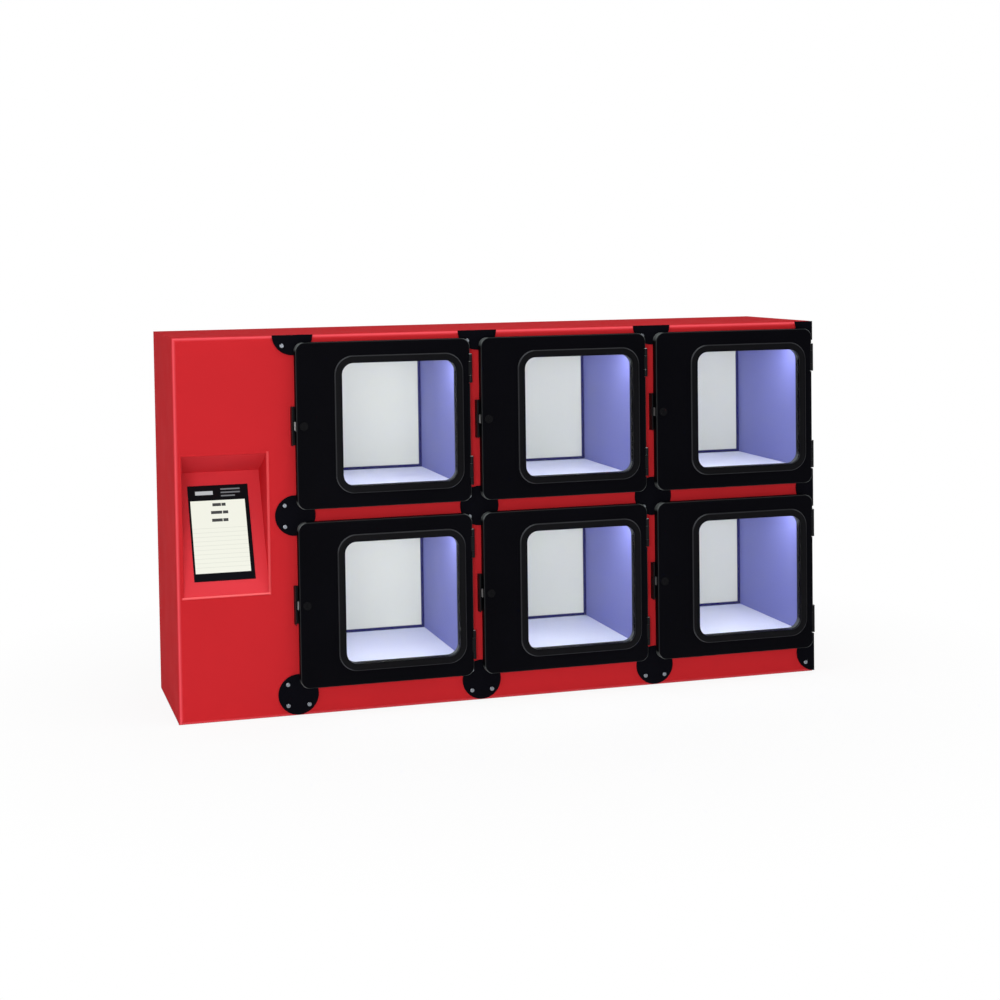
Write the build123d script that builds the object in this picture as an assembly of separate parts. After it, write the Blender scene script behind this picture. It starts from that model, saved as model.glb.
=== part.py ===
from build123d import *
import os

# A food pickup locker: a sheet-metal cabinet with three columns and two rows of
# glass-fronted compartments, and a bay on the left with a tilted touch screen.
# Millimetres, +Z up, -Y is the front. The origin is the centre of the footprint.

# Cabinet
cabinet_width = 1550.0
cabinet_height = 864.0
cabinet_depth = 380.0
sheet = 1.5
liner_sheet = 1.2
bend_radius = 11.0
fascia_flange = 18.0
panel_seam = 0.4
base_flange = 18.0

# Doors, which fill the front between their margins
column_count = 3
row_count = 2
door_thickness = 20.0
door_back_gap = 6.0
door_left_margin = 270.0
door_right_margin = 13.0
door_bottom_margin = 66.0
door_top_margin = 17.0
column_gap = 26.0
row_gap = 29.0
door_corner = 20.0
door_edge_round = 3.0
door_skin = 2.5

# Door windows
window_left = 105.0
window_right = 34.0
window_bottom = 49.0
window_top = 49.0
window_corner = 26.0
trim_rim = 17.0
trim_thickness = 3.0
trim_bevel = 2.4
glass_thickness = 4.0
glass_bearing = 13.0
glass_clearance = 0.5

# Compartments behind the doors, inset from each door's outline
inset_left = 30.0
inset_right = 20.0
inset_bottom = 38.0
inset_top = 24.0
compartment_corner = 4.0
seal_width = 8.0
seal_squeeze = 0.3
rear_liner_gap = 12.0
edge_seal_width = 7.0
edge_seal_depth = 1.5

# Compartment lights
light_width = 16.0
light_height = 7.0
light_wall = 1.0
light_setback = 6.0
light_end_gap = 12.0
lens_drop = 1.5
lens_round = 1.2
lens_roof_gap = 1.0

# Hinges, two on the right edge of each door
hinge_length = 66.0
hinge_from_end = 70.0
hinge_beyond_edge = 2.0
hinge_behind_front = 8.0
knuckle_radius = 5.0
knuckle_gap = 0.4
pin_radius = 2.5
pin_clearance = 0.05
pin_head = 0.9
pin_head_radius = 4.0
leaf_thickness = 3.0
leaf_gap = 1.0
arm_from_axis = 1.0
door_open_angle = 110.0

# Door locks: a plug with an off-centre pin that moves a bolt
plug_from_edge = 17.0
plug_radius = 8.0
plug_head_radius = 9.5
plug_head = 1.5
plug_head_round = 0.75
plug_clearance = 0.1
plug_face_from_bolt = 0.3
key_slot = (1.6, 9.0, 1.2)
crank_offset = 4.0
crank_radius = 2.0
crank_clearance = 0.3
bolt_travel = 2 * crank_offset
bolt_thickness = 5.0
bolt_height = 20.0
bolt_length = 42.0
bolt_nose = 3.0
bolt_nose_round = 2.0
bolt_clearance = 0.1
bolt_behind_front = 11.0

# Keepers, one beside the lock edge of each door
keeper_height = 87.0
keeper_reach = 9.0
keeper_sheet = 2.5
keeper_foot = 27.0
keeper_stand = 20.0
keeper_clearance = 0.5

# Round plates behind the door corners, and their screws
plate_radius = 46.0
plate_thickness = 3.0
plate_offset = -2.0
plate_low_centre = 50.0
screw_spacing = 48.0
screw_radius = 2.4
screw_hole_radius = 2.5
screw_head_radius = 5.0
screw_head = 2.4
screw_head_round = 1.4
screw_cross = (6.0, 1.2, 1.0)
screw_grip = 6.0

# Screen bay
pocket_left = 13.0
pocket_width = 195.0
pocket_bottom = 283.0
pocket_height = 319.0
pocket_lip = 3.0
pocket_depth = 135.0
pocket_ceiling_drop = 54.0
screen_width = 137.0
screen_height = 226.0
screen_proud = 1.6
screen_bevel = 0.5
screen_up_panel = 37.0
module_thickness = 22.0
module_margin = 8.0
module_hole_clearance = 0.4
control_size = (170.0, 90.0, 120.0)
control_wall = 1.5
control_setback = 60.0
control_slot_count = 5
control_slot = 4.0
control_slot_pitch = 12.0
control_slot_low = 36.0

# Rear panel
vent_size = (60.0, 5.0)
vent_corner = 2.4
vent_spacing = 72.0
vent_pitch = 14.0
vent_count = 8
vent_low = 560.0
inlet_hole = (48.0, 28.0)
inlet_flange = (60.0, 36.0)
inlet_proud = 2.0
inlet_depth = 22.0
inlet_from_left = 110.0
inlet_height = 90.0
inlet_wall = 2.0
inlet_clearance = 0.2
inlet_corner = 4.0
inlet_well = (27.6, 19.6)
blade_size = (2.0, 5.0)
blade_places = ((-7.0, -2.0), (7.0, -2.0), (0.0, 3.0))
blade_end_gap = 2.0

# Holes in the base for fixing the cabinet down
base_hole_radius = 4.5
base_hole_inset = (75.0, 50.0)

# Sizes that follow from the others
columns_width = cabinet_width - door_left_margin - door_right_margin - (column_count - 1) * column_gap
rows_height = cabinet_height - door_bottom_margin - door_top_margin - (row_count - 1) * row_gap
door_width = columns_width / column_count
door_height = rows_height / row_count
window_width = door_width - window_left - window_right
window_height = door_height - window_bottom - window_top
base_hole_spacing = (cabinet_width - 2 * base_hole_inset[0], cabinet_depth - 2 * base_hole_inset[1])

# Planes that the pieces share
door_stack = door_back_gap + door_thickness + trim_thickness
face_y = -(cabinet_depth + inlet_proud - door_stack) / 2
rear_y = face_y + cabinet_depth
left_x = -cabinet_width / 2
right_x = cabinet_width / 2
door_back_y = face_y - door_back_gap
door_front_y = door_back_y - door_thickness
seam_y = face_y + fascia_flange + panel_seam
liner_back_y = rear_y - sheet - rear_liner_gap
hinge_y = door_front_y + hinge_behind_front
bolt_front_y = door_front_y + bolt_behind_front


def block(x0, x1, y0, y1, z0, z1):
    """A box between two corners."""
    return Pos((x0 + x1) / 2, (y0 + y1) / 2, (z0 + z1) / 2) * Box(x1 - x0, y1 - y0, z1 - z0)


def rounded_block(x0, x1, y0, y1, z0, z1, radius):
    """A box whose four edges along Y are rounded."""
    back = Plane(origin=((x0 + x1) / 2, y1, (z0 + z1) / 2), x_dir=(1, 0, 0), z_dir=(0, -1, 0))
    return extrude(back * RectangleRounded(x1 - x0, z1 - z0, radius), amount=y1 - y0)


def rod_y(x, z, y0, y1, radius):
    """A cylinder along Y."""
    return Pos(x, (y0 + y1) / 2, z) * Rot(90, 0, 0) * Cylinder(radius, y1 - y0)


def rod_z(x, y, z0, z1, radius):
    """A cylinder along Z."""
    return Pos(x, y, (z0 + z1) / 2) * Cylinder(radius, z1 - z0)


def front_edges(shape, y):
    """The edges that lie in the plane at y."""
    return shape.edges().filter_by_position(Axis.Y, y - 0.01, y + 0.01)


def save(name, *solids):
    """Writes one node, of one or more separate solids."""
    node = solids[0] if len(solids) == 1 else Compound(children=list(solids))
    export_step(node, f"parts/{name}.step")


def door_box(column, row):
    """The outline of one door: x0, x1, z0, z1. Row 0 is the lower one."""
    x0 = left_x + door_left_margin + column * (door_width + column_gap)
    z0 = door_bottom_margin + row * (door_height + row_gap)
    return x0, x0 + door_width, z0, z0 + door_height


def compartment_box(column, row):
    """The clear opening of one compartment: x0, x1, z0, z1."""
    x0, x1, z0, z1 = door_box(column, row)
    return x0 + inset_left, x1 - inset_right, z0 + inset_bottom, z1 - inset_top


def places():
    return [(column, row) for row in range(row_count) for column in range(column_count)]


def hinge_heights(z0, z1):
    """The middle of each hinge on one door."""
    return z0 + hinge_from_end, z1 - hinge_from_end


# Round plates: where they lie and the screws that hold them

def plate_centres():
    """Centres of the plates, on a grid between the doors, with the last column on the right edge."""
    xs = [door_box(column, 0)[0] + plate_offset for column in range(column_count)] + [right_x]
    zs = [plate_low_centre]
    zs += [door_box(0, row)[3] + row_gap / 2 for row in range(row_count - 1)]
    zs += [cabinet_height]
    return [(x, z) for z in zs for x in xs]


def screw_places():
    """Screws that fall on the flat part of the fascia and on their plate."""
    half = screw_spacing / 2
    margin = bend_radius + screw_head_radius
    found = []
    for x, z in plate_centres():
        for dx in (-half, half):
            for dz in (-half, half):
                inside_x = x + dx < right_x - margin
                inside_z = margin < z + dz < cabinet_height - margin
                if inside_x and inside_z:
                    found.append((x + dx, z + dz))
    return found


def plate_obstacles():
    """What the plates are cut back from: hinge feet, keepers and door seals."""
    taken = []
    for column, row in places():
        taken += hinge_feet(column, row, leaf_gap)
        taken.append(keeper_block(column, row, leaf_gap))
        taken.append(seal_block(column, row, seal_width + leaf_gap))
    return taken


def corner_plates():
    obstacles = plate_obstacles()
    front = block(left_x, right_x, face_y - plate_thickness, face_y, 0, cabinet_height)
    plates = []
    for x, z in plate_centres():
        disc = rod_y(x, z, face_y - plate_thickness, face_y, plate_radius) & front
        for sx, sz in screw_places():
            if abs(sx - x) < plate_radius and abs(sz - z) < plate_radius:
                disc -= rod_y(sx, sz, face_y - plate_thickness, face_y, screw_hole_radius)
        disc -= obstacles
        plates.append(disc.solids().sort_by(SortBy.VOLUME)[-1])
    return plates


def plate_screws():
    head_y = face_y - plate_thickness
    front = head_y - screw_head
    length, width, depth = screw_cross
    screws = []
    for x, z in screw_places():
        head = rod_y(x, z, front, head_y, screw_head_radius)
        head = fillet(front_edges(head, front), screw_head_round)
        for across, up in ((length / 2, width / 2), (width / 2, length / 2)):
            head -= block(x - across, x + across, front, front + depth, z - up, z + up)
        screws.append(head + rod_y(x, z, head_y, head_y + screw_grip, screw_radius))
    return screws


# Cabinet shell

def front_fascia():
    """A pan bent from one sheet, with an opening for each compartment and one for the screen bay."""
    flange_y = face_y + fascia_flange
    pan = block(left_x, right_x, face_y, flange_y, 0, cabinet_height)
    pan = fillet(front_edges(pan, face_y), bend_radius)
    hollow = block(left_x + sheet, right_x - sheet, face_y + sheet, flange_y, sheet, cabinet_height - sheet)
    hollow = fillet(front_edges(hollow, face_y + sheet), bend_radius - sheet)
    pan -= hollow
    for column, row in places():
        x0, x1, z0, z1 = compartment_box(column, row)
        pan -= rounded_block(x0, x1, face_y, face_y + 2 * sheet, z0, z1, compartment_corner)
    px = left_x + pocket_left
    pan -= block(px, px + pocket_width, face_y, face_y + 2 * sheet,
                 pocket_bottom, pocket_bottom + pocket_height)
    for x, z in screw_places():
        pan -= rod_y(x, z, face_y, face_y + sheet, screw_hole_radius)
    return pan


def side_panel(outer_x, inward):
    """One flat side, from the seam behind the fascia to the rear panel."""
    x0, x1 = sorted((outer_x, outer_x + inward * sheet))
    return block(x0, x1, seam_y, rear_y - sheet, sheet, cabinet_height - sheet)


def top_cover():
    """The flat top, with a flange down inside each side panel."""
    lid = block(left_x, right_x, seam_y, rear_y, cabinet_height - sheet, cabinet_height)
    low = cabinet_height - sheet - base_flange
    back = rear_y - sheet
    lid += block(left_x + sheet, left_x + 2 * sheet, seam_y, back, low, cabinet_height - sheet)
    lid += block(right_x - 2 * sheet, right_x - sheet, seam_y, back, low, cabinet_height - sheet)
    return lid


def base_pan():
    """The floor of the cabinet, with flanges up inside the sides and the four fixing holes."""
    pan = block(left_x, right_x, seam_y, rear_y, 0, sheet)
    back = rear_y - sheet
    pan += block(left_x + sheet, left_x + 2 * sheet, seam_y, back, sheet, base_flange)
    pan += block(right_x - 2 * sheet, right_x - sheet, seam_y, back, sheet, base_flange)
    for side in (-1, 1):
        for end in (-1, 1):
            x, y = side * base_hole_spacing[0] / 2, end * base_hole_spacing[1] / 2
            pan -= rod_z(x, y, 0, sheet, base_hole_radius)
    return pan


def rear_panel():
    """The back, with ventilation slots behind the screen bay and a cut-out for the power inlet."""
    panel = block(left_x, right_x, rear_y - sheet, rear_y, sheet, cabinet_height - sheet)
    bay_x = left_x + inlet_from_left
    for index in range(vent_count):
        z = vent_low + index * vent_pitch
        for x in (bay_x - vent_spacing / 2, bay_x + vent_spacing / 2):
            half = vent_size[0] / 2
            panel -= rounded_block(x - half, x + half, rear_y - sheet, rear_y,
                                   z, z + vent_size[1], vent_corner)
    half_w, half_h = inlet_hole[0] / 2, inlet_hole[1] / 2
    panel -= block(bay_x - half_w, bay_x + half_w, rear_y - sheet, rear_y,
                   inlet_height - half_h, inlet_height + half_h)
    return panel


def power_inlet():
    """A flanged socket for a mains lead, with three blades in its well."""
    x = left_x + inlet_from_left
    z = inlet_height
    half_w, half_h = inlet_hole[0] / 2 - inlet_clearance, inlet_hole[1] / 2 - inlet_clearance
    flange_w, flange_h = inlet_flange[0] / 2, inlet_flange[1] / 2
    well_w, well_h = inlet_well[0] / 2, inlet_well[1] / 2
    front, back = rear_y - inlet_depth, rear_y + inlet_proud
    body = block(x - half_w, x + half_w, front, rear_y, z - half_h, z + half_h)
    body += rounded_block(x - flange_w, x + flange_w, rear_y, back, z - flange_h, z + flange_h, inlet_corner)
    body -= block(x - well_w, x + well_w, front + inlet_wall, back, z - well_h, z + well_h)
    blade_w, blade_h = blade_size[0] / 2, blade_size[1] / 2
    for dx, dz in blade_places:
        body += block(x + dx - blade_w, x + dx + blade_w, front + inlet_wall, rear_y - blade_end_gap,
                      z + dz - blade_h, z + dz + blade_h)
    return body


# Screen bay: a pocket whose panel leans back, with the screen in it

pocket_x0 = left_x + pocket_left
pocket_x1 = pocket_x0 + pocket_width
pocket_top = pocket_bottom + pocket_height
panel_low = (face_y + pocket_lip, pocket_bottom)
panel_high = (face_y + pocket_depth, pocket_top - pocket_ceiling_drop)
panel_run = Vector(0, panel_high[0] - panel_low[0], panel_high[1] - panel_low[1])
panel_up = panel_run.normalized()
panel_out = Vector(0, -panel_up.Z, panel_up.Y)
screen_x = (pocket_x0 + pocket_x1) / 2
screen_centre = Vector(screen_x, *panel_low) + panel_up * (screen_up_panel + screen_height / 2)


def side_profile(points, x0, x1):
    """A solid with the given outline in the YZ plane, from x0 to x1."""
    outline = Face(Wire.make_polygon([(x0, y, z) for y, z in points], close=True))
    return Solid.extrude(outline, Vector(x1 - x0, 0, 0))


def pocket_outline(grow):
    """The pocket's inside in side view, grown by the sheet's thickness at the back, top and bottom."""
    low = Vector(0, *panel_low) - panel_out * grow
    high = Vector(0, *panel_high) - panel_out * grow + panel_up * grow
    front = face_y + sheet
    bottom = pocket_bottom - grow
    low_y = low.Y - (low.Z - bottom) * panel_up.Y / panel_up.Z
    return [(front, bottom), (low_y, bottom), (high.Y, high.Z), (front, pocket_top + grow)]


def on_panel(width, height, out_low, out_high):
    """A block centred on the screen, lying parallel to the leaning panel."""
    origin = screen_centre + panel_out * out_low
    plane = Plane(origin=origin, x_dir=(1, 0, 0), z_dir=panel_out)
    return extrude(plane * Rectangle(width, height), amount=out_high - out_low)


def kiosk_pocket():
    shell = side_profile(pocket_outline(sheet), pocket_x0 - sheet, pocket_x1 + sheet)
    shell -= side_profile(pocket_outline(0), pocket_x0, pocket_x1)
    clear = 2 * module_hole_clearance
    shell -= on_panel(screen_width + clear, screen_height + clear, -3 * sheet, 2 * sheet)
    return shell.solids()[0]


def display_module():
    """The screen's housing, behind the panel."""
    back = -sheet - module_thickness
    width = screen_width + 2 * module_margin
    height = screen_height + 2 * module_margin
    return on_panel(width, height, back, -sheet)


def display_screen():
    """The cover glass, which fills the hole in the panel and stands a little proud of it."""
    pane = on_panel(screen_width, screen_height, -sheet, screen_proud)
    front = pane.faces().sort_by(Axis((0, 0, 0), tuple(panel_out)))[-1]
    return chamfer(front.edges(), screen_bevel)


def control_box():
    """A closed steel case on the base pan, below the screen."""
    x = (pocket_x0 + pocket_x1) / 2
    width, depth, height = control_size
    y0 = face_y + control_setback
    case = block(x - width / 2, x + width / 2, y0, y0 + depth, sheet, sheet + height)
    wall = control_wall
    case -= block(x - width / 2 + wall, x + width / 2 - wall, y0 + wall, y0 + depth - wall,
                  sheet + wall, sheet + height - wall)
    for index in range(control_slot_count):
        z = sheet + control_slot_low + index * control_slot_pitch
        case -= block(x - width / 4, x + width / 4, y0, y0 + wall, z, z + control_slot)
    return case


# Compartments

def liner_walls():
    """Full-height side sheets, two for each column of compartments."""
    walls = []
    low, high = sheet, cabinet_height - sheet
    front = face_y + sheet
    for column in range(column_count):
        x0, x1, _, _ = compartment_box(column, 0)
        for x in (x0 - liner_sheet, x1):
            wall = block(x, x + liner_sheet, front, liner_back_y, low, high)
            corners = wall.edges().filter_by(Axis.X).group_by(Axis.Y)[0]
            walls.append(fillet(corners, bend_radius))
    return walls


def compartment_floors():
    floors = []
    for column, row in places():
        x0, x1, z0, _ = compartment_box(column, row)
        floors.append(block(x0, x1, face_y + sheet, liner_back_y, z0 - liner_sheet, z0))
    return floors


def compartment_ceilings():
    ceilings = []
    for column, row in places():
        x0, x1, _, z1 = compartment_box(column, row)
        ceilings.append(block(x0, x1, face_y + sheet, liner_back_y, z1, z1 + liner_sheet))
    return ceilings


def rear_liners():
    """One sheet for each column behind its compartments, and the spacers that hold it off the rear panel."""
    sheets = []
    for column in range(column_count):
        x0, x1, _, _ = compartment_box(column, 0)
        liner = block(x0 - liner_sheet, x1 + liner_sheet, liner_back_y, liner_back_y + liner_sheet,
                      sheet, cabinet_height - sheet)
        for x in (x0 - liner_sheet, x1):
            liner += block(x, x + liner_sheet, liner_back_y + liner_sheet, rear_y - sheet,
                           sheet, cabinet_height - sheet)
        sheets.append(liner)
    return sheets


def rear_edge_seals():
    """A dark strip round the rear wall of each compartment."""
    strips = []
    for column, row in places():
        x0, x1, z0, z1 = compartment_box(column, row)
        edge = edge_seal_width
        strip = block(x0, x1, liner_back_y - edge_seal_depth, liner_back_y, z0, z1)
        strip -= block(x0 + edge, x1 - edge, liner_back_y - edge_seal_depth, liner_back_y,
                       z0 + edge, z1 - edge)
        strips.append(strip)
    return strips


def light_box(column, row):
    """The outline of one light under the front of a ceiling: x0, x1, y0, y1, z0, z1."""
    x0, x1, _, z1 = compartment_box(column, row)
    y0 = face_y + sheet + light_setback
    return x0 + light_end_gap, x1 - light_end_gap, y0, y0 + light_width, z1 - light_height, z1


def light_channels():
    channels = []
    for column, row in places():
        x0, x1, y0, y1, z0, z1 = light_box(column, row)
        channel = block(x0, x1, y0, y1, z0, z1)
        channel -= block(x0, x1, y0 + light_wall, y1 - light_wall, z0, z1 - light_wall)
        channels.append(channel)
    return channels


def light_lenses():
    lenses = []
    for column, row in places():
        x0, x1, y0, y1, z0, z1 = light_box(column, row)
        lens = block(x0, x1, y0 + light_wall, y1 - light_wall,
                     z0 - lens_drop, z1 - light_wall - lens_roof_gap)
        lenses.append(fillet(lens.edges().filter_by(Axis.X).group_by(Axis.Z)[0], lens_round))
    return lenses


def seal_block(column, row, grow):
    """The compartment's opening, grown all round, from the fascia to just clear of the closed door."""
    x0, x1, z0, z1 = compartment_box(column, row)
    return rounded_block(x0 - grow, x1 + grow, door_back_y + seal_squeeze, face_y, z0 - grow, z1 + grow,
                         compartment_corner + grow)


def door_seals():
    """A ring round each opening."""
    return [seal_block(*place, seal_width) - seal_block(*place, 0) for place in places()]


# Doors

def window_box(column, row, grow):
    """The window's outline in one door, grown all round: x0, x1, z0, z1."""
    x0, _, z0, _ = door_box(column, row)
    wx, wz = x0 + window_left, z0 + window_bottom
    return wx - grow, wx + window_width + grow, wz - grow, wz + window_height + grow


def window_block(column, row, grow, y0, y1):
    x0, x1, z0, z1 = window_box(column, row, grow)
    return rounded_block(x0, x1, y0, y1, z0, z1, window_corner + grow)


def door_frame(column, row):
    """A hollow frame of bent skins, with a rebate for the glass and openings for hinges and lock."""
    x0, x1, z0, z1 = door_box(column, row)
    frame = rounded_block(x0, x1, door_front_y, door_back_y, z0, z1, door_corner)
    frame = fillet(front_edges(frame, door_front_y), door_edge_round)
    skin = door_skin
    hollow_front, hollow_back = door_front_y + skin, door_back_y - skin
    hollow = rounded_block(x0 + skin, x1 - skin, hollow_front, hollow_back, z0 + skin, z1 - skin,
                           door_corner - skin)
    hollow -= window_block(column, row, glass_bearing + glass_clearance + skin, hollow_front, hollow_back)
    notch_in = knuckle_radius + leaf_gap - hinge_beyond_edge
    for z in hinge_heights(z0, z1):
        half = hinge_length / 2 + leaf_gap
        walls = block(x1 - notch_in - skin, x1, hollow_front, hollow_back, z - half - skin, z + half + skin)
        hollow -= walls
    frame -= hollow
    for z in hinge_heights(z0, z1):
        half = hinge_length / 2 + leaf_gap
        frame -= block(x1 - notch_in, x1, door_front_y, door_back_y, z - half, z + half)
    frame -= window_block(column, row, 0, door_front_y, door_back_y)
    rebate_back = door_front_y + glass_thickness + glass_clearance
    frame -= window_block(column, row, glass_bearing + glass_clearance, door_front_y, rebate_back)
    lock_z = (z0 + z1) / 2
    frame -= rod_y(x0 + plug_from_edge, lock_z, door_front_y, hollow_front, plug_radius + plug_clearance)
    slot_half = bolt_height / 2 + bolt_clearance
    bolt_back_y = bolt_front_y + bolt_thickness
    frame -= block(x0, x0 + skin, bolt_front_y - bolt_clearance, bolt_back_y + bolt_clearance,
                   lock_z - slot_half, lock_z + slot_half)
    return frame


def door_glass(column, row):
    y0 = door_front_y + glass_clearance
    return window_block(column, row, glass_bearing, y0, y0 + glass_thickness)


def window_trim(column, row):
    """The raised ring that holds the glass, bevelled on its outer edge and on its inner one."""
    y0, y1 = door_front_y - trim_thickness, door_front_y
    ring = window_block(column, row, trim_rim, y0, y1)
    ring = chamfer(front_edges(ring, y0), trim_bevel)
    opening = window_block(column, row, 0, y0, y1)
    return ring - opening


def hinge_axis_x(column):
    return door_box(column, 0)[1] + hinge_beyond_edge


def knuckle_spans(z):
    """The three knuckles of one hinge: the bracket's, the door's, the bracket's."""
    low, high = z - hinge_length / 2, z + hinge_length / 2
    inner_low, inner_high = low + hinge_length / 4, high - hinge_length / 4
    return (low, inner_low), (inner_low + knuckle_gap, inner_high - knuckle_gap), (inner_high, high)


def door_leaves(column, row):
    """The door's half of its two hinges: a knuckle, and a tongue that lies in the notch of the frame."""
    _, x1, z0, z1 = door_box(column, row)
    axis = hinge_axis_x(column)
    notch = x1 - knuckle_radius - leaf_gap + hinge_beyond_edge
    leaves = []
    for z in hinge_heights(z0, z1):
        low, high = knuckle_spans(z)[1]
        leaf = rod_z(axis, hinge_y, low, high, knuckle_radius)
        front = hinge_y - knuckle_radius
        leaf += block(notch, axis, front, front + leaf_thickness, low, high)
        leaf -= rod_z(axis, hinge_y, low, high, pin_radius + pin_clearance)
        leaves.append(leaf)
    return leaves


def hinge_feet(column, row, grow):
    """The feet of one door's two hinge brackets, flat on the fascia between the seal and the door's edge."""
    _, x1, z0, z1 = door_box(column, row)
    left = x1 - inset_right + seal_width + leaf_gap
    right = hinge_axis_x(column) + knuckle_radius
    half = hinge_length / 2 + grow
    return [block(left - grow, right + grow, face_y - leaf_thickness, face_y, z - half, z + half)
            for z in hinge_heights(z0, z1)]


def hinge_brackets():
    """The cabinet's half of every hinge: a foot on the fascia, and two arms out to the outer knuckles."""
    brackets = []
    for column, row in places():
        _, _, z0, z1 = door_box(column, row)
        axis = hinge_axis_x(column)
        for z, bracket in zip(hinge_heights(z0, z1), hinge_feet(column, row, 0)):
            for index in (0, 2):
                low, high = knuckle_spans(z)[index]
                bracket += rod_z(axis, hinge_y, low, high, knuckle_radius)
                bracket += block(axis + arm_from_axis, axis + knuckle_radius,
                                 hinge_y, face_y - leaf_thickness, low, high)
                bracket -= rod_z(axis, hinge_y, low, high, pin_radius + pin_clearance)
            brackets.append(bracket)
    return brackets


def hinge_pins():
    """A headed pin through the knuckles of every hinge."""
    pins = []
    for column, row in places():
        _, _, z0, z1 = door_box(column, row)
        axis = hinge_axis_x(column)
        for z in hinge_heights(z0, z1):
            half = hinge_length / 2
            pin = rod_z(axis, hinge_y, z - half, z + half, pin_radius)
            pin += rod_z(axis, hinge_y, z + half, z + half + pin_head, pin_head_radius)
            pins.append(pin)
    return pins


# Locks

def lock_height(column, row):
    _, _, z0, z1 = door_box(column, row)
    return (z0 + z1) / 2


def lock_plug(column, row):
    """The round plug in the door's face, with a key slot in front and a crank pin behind."""
    x = door_box(column, row)[0] + plug_from_edge
    z = lock_height(column, row)
    back = bolt_front_y - plug_face_from_bolt
    plug = rod_y(x, z, door_front_y, back, plug_radius)
    head = rod_y(x, z, door_front_y - plug_head, door_front_y, plug_head_radius)
    plug += fillet(front_edges(head, door_front_y - plug_head), plug_head_round)
    width, height, depth = key_slot
    face = door_front_y - plug_head
    plug -= block(x - width / 2, x + width / 2, face, face + depth, z - height / 2, z + height / 2)
    pin_end = bolt_front_y + bolt_thickness
    plug += rod_y(x + crank_offset, z + crank_offset, back, pin_end, crank_radius)
    return plug


def lock_bolt(column, row):
    """The flat bolt, whose nose just shows at the door's edge, slotted for the plug's crank pin."""
    x0 = door_box(column, row)[0]
    z = lock_height(column, row)
    half = bolt_height / 2
    bolt = block(x0 - bolt_nose, x0 - bolt_nose + bolt_length, bolt_front_y, bolt_front_y + bolt_thickness,
                 z - half, z + half)
    nose = bolt.edges().filter_by(Axis.Y).group_by(Axis.X)[0]
    bolt = fillet(nose, bolt_nose_round)
    reach = crank_radius + crank_clearance
    crank_x = x0 + plug_from_edge + crank_offset
    lowest = crank_offset - reach
    highest = crank_offset * 2 ** 0.5 + reach
    bolt -= block(crank_x - reach, crank_x + reach, bolt_front_y, bolt_front_y + bolt_thickness,
                  z + lowest, z + highest)
    return bolt


def keeper_block(column, row, grow):
    """The space that one keeper takes on the fascia."""
    x0 = door_box(column, row)[0]
    z = lock_height(column, row)
    half = keeper_height / 2 + grow
    left = x0 - keeper_reach
    return block(left - grow, left + keeper_foot + grow, face_y - keeper_sheet, face_y, z - half, z + half)


def latch_keepers():
    """Angle pieces on the fascia, each with a slot that the bolt enters."""
    keepers = []
    for column, row in places():
        x0 = door_box(column, row)[0]
        z = lock_height(column, row)
        left = x0 - keeper_reach
        half = keeper_height / 2
        keeper = keeper_block(column, row, 0)
        keeper += block(left, left + keeper_sheet, face_y - keeper_stand, face_y, z - half, z + half)
        slot = bolt_height / 2 + keeper_clearance
        keeper -= block(left, left + keeper_sheet, bolt_front_y - keeper_clearance,
                        bolt_front_y + bolt_thickness + keeper_clearance, z - slot, z + slot)
        keepers.append(keeper)
    return keepers


os.makedirs("parts", exist_ok=True)
save("front_fascia", front_fascia())
save("left_side_panel", side_panel(left_x, 1))
save("right_side_panel", side_panel(right_x, -1))
save("top_cover", top_cover())
save("base_pan", base_pan())
save("rear_panel", rear_panel())
save("power_inlet", power_inlet())
save("kiosk_pocket", kiosk_pocket())
save("display_module", display_module())
save("display_screen", display_screen())
save("control_box", control_box())
save("liner_walls", *liner_walls())
save("compartment_floors", *compartment_floors())
save("compartment_ceilings", *compartment_ceilings())
save("rear_liners", *rear_liners())
save("rear_edge_seals", *rear_edge_seals())
save("light_channels", *light_channels())
save("light_lenses", *light_lenses())
save("door_seals", *door_seals())
save("corner_plates", *corner_plates())
save("plate_screws", *plate_screws())
save("hinge_brackets", *hinge_brackets())
save("hinge_pins", *hinge_pins())
save("latch_keepers", *latch_keepers())
for number, place in enumerate(places(), 1):
    save(f"door_frame_{number}", door_frame(*place))
    save(f"door_glass_{number}", door_glass(*place))
    save(f"window_trim_{number}", window_trim(*place))
    save(f"door_leaves_{number}", *door_leaves(*place))
    save(f"lock_plug_{number}", lock_plug(*place))
    save(f"lock_bolt_{number}", lock_bolt(*place))
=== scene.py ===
import math

import bmesh
import bpy
from mathutils import Matrix, Vector


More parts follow.
